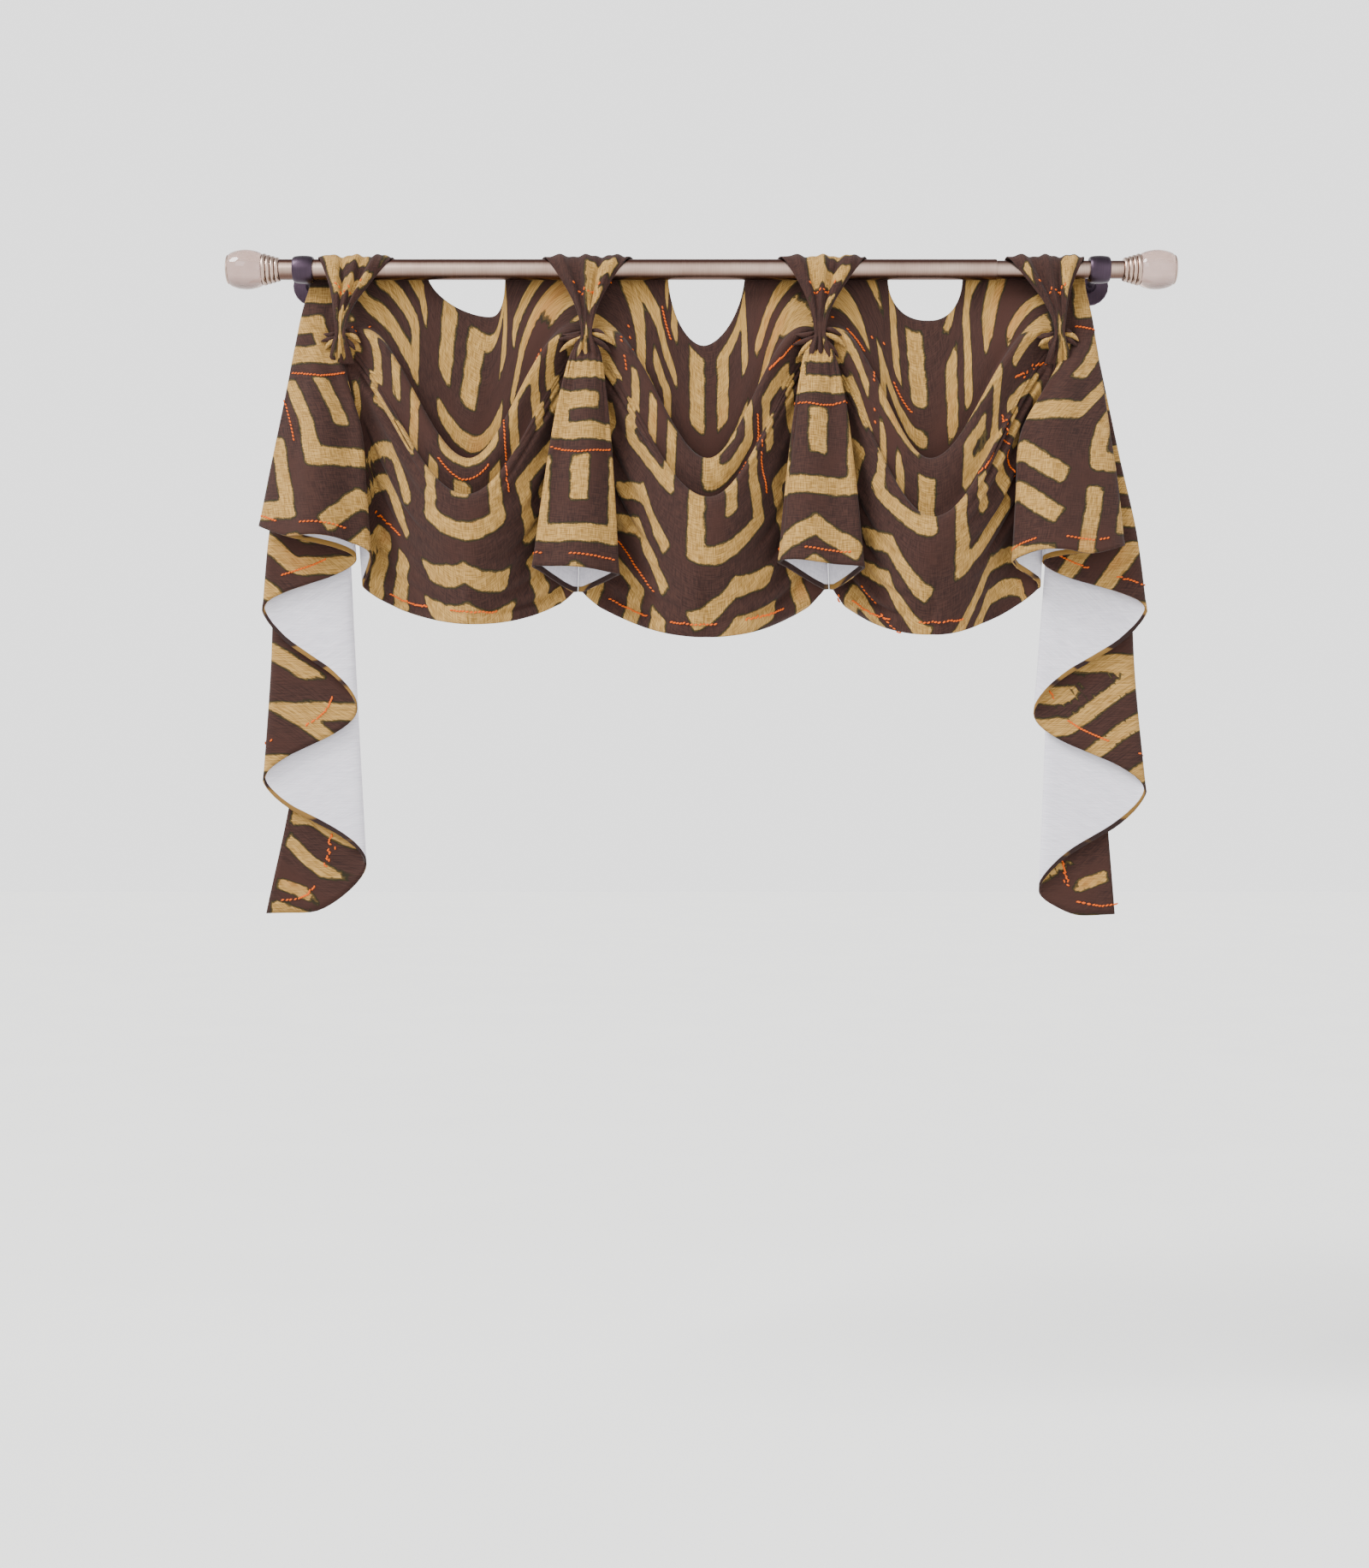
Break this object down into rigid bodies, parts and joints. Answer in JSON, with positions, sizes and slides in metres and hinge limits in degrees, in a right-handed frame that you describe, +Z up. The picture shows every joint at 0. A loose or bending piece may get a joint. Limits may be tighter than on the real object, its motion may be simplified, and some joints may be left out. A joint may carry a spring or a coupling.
{
  "type": "window swag on a rod",
  "caption": "Lined window swag with draped cowls, trumpets and pleated side tails, hung by tabs from a telescoping metal rod with crystal finials and wall brackets.",
  "frame": {"origin": "on the wall plane, at the height of the rod's axis, midway between the two brackets", "axes": "+X along the rod to the viewer's right, +Y into the wall, +Z up"},
  "size_m": [1.1808, 0.1663, 0.8314],
  "materials": {
    "face_cloth": "printed woven cloth, dark brown with tan meander bands and orange stitch lines",
    "lining": "plain off-white lining cloth",
    "tab_cloth": "the face cloth, self-lined and pleated",
    "rod_metal": "brushed copper bronze plating",
    "bracket_metal": "dark bronze lacquer",
    "crystal": "smoky rose crystal glass"
  },
  "bodies": {
    "root": {"face_cloth": "face_cloth", "lining": "lining", "tab_1": "tab_cloth", "tab_2": "tab_cloth", "tab_3": "tab_cloth", "tab_4": "tab_cloth", "rod_outer_tube": "rod_metal", "rod_inner_tube": "rod_metal", "finial_neck_left": "rod_metal", "finial_glass_left": "crystal", "finial_cap_left": "rod_metal", "bracket_collar_left": "bracket_metal", "bracket_arm_left": "bracket_metal", "finial_neck_right": "rod_metal", "finial_glass_right": "crystal", "finial_cap_right": "rod_metal", "bracket_collar_right": "bracket_metal", "bracket_arm_right": "bracket_metal"}
  },
  "joints": []
}
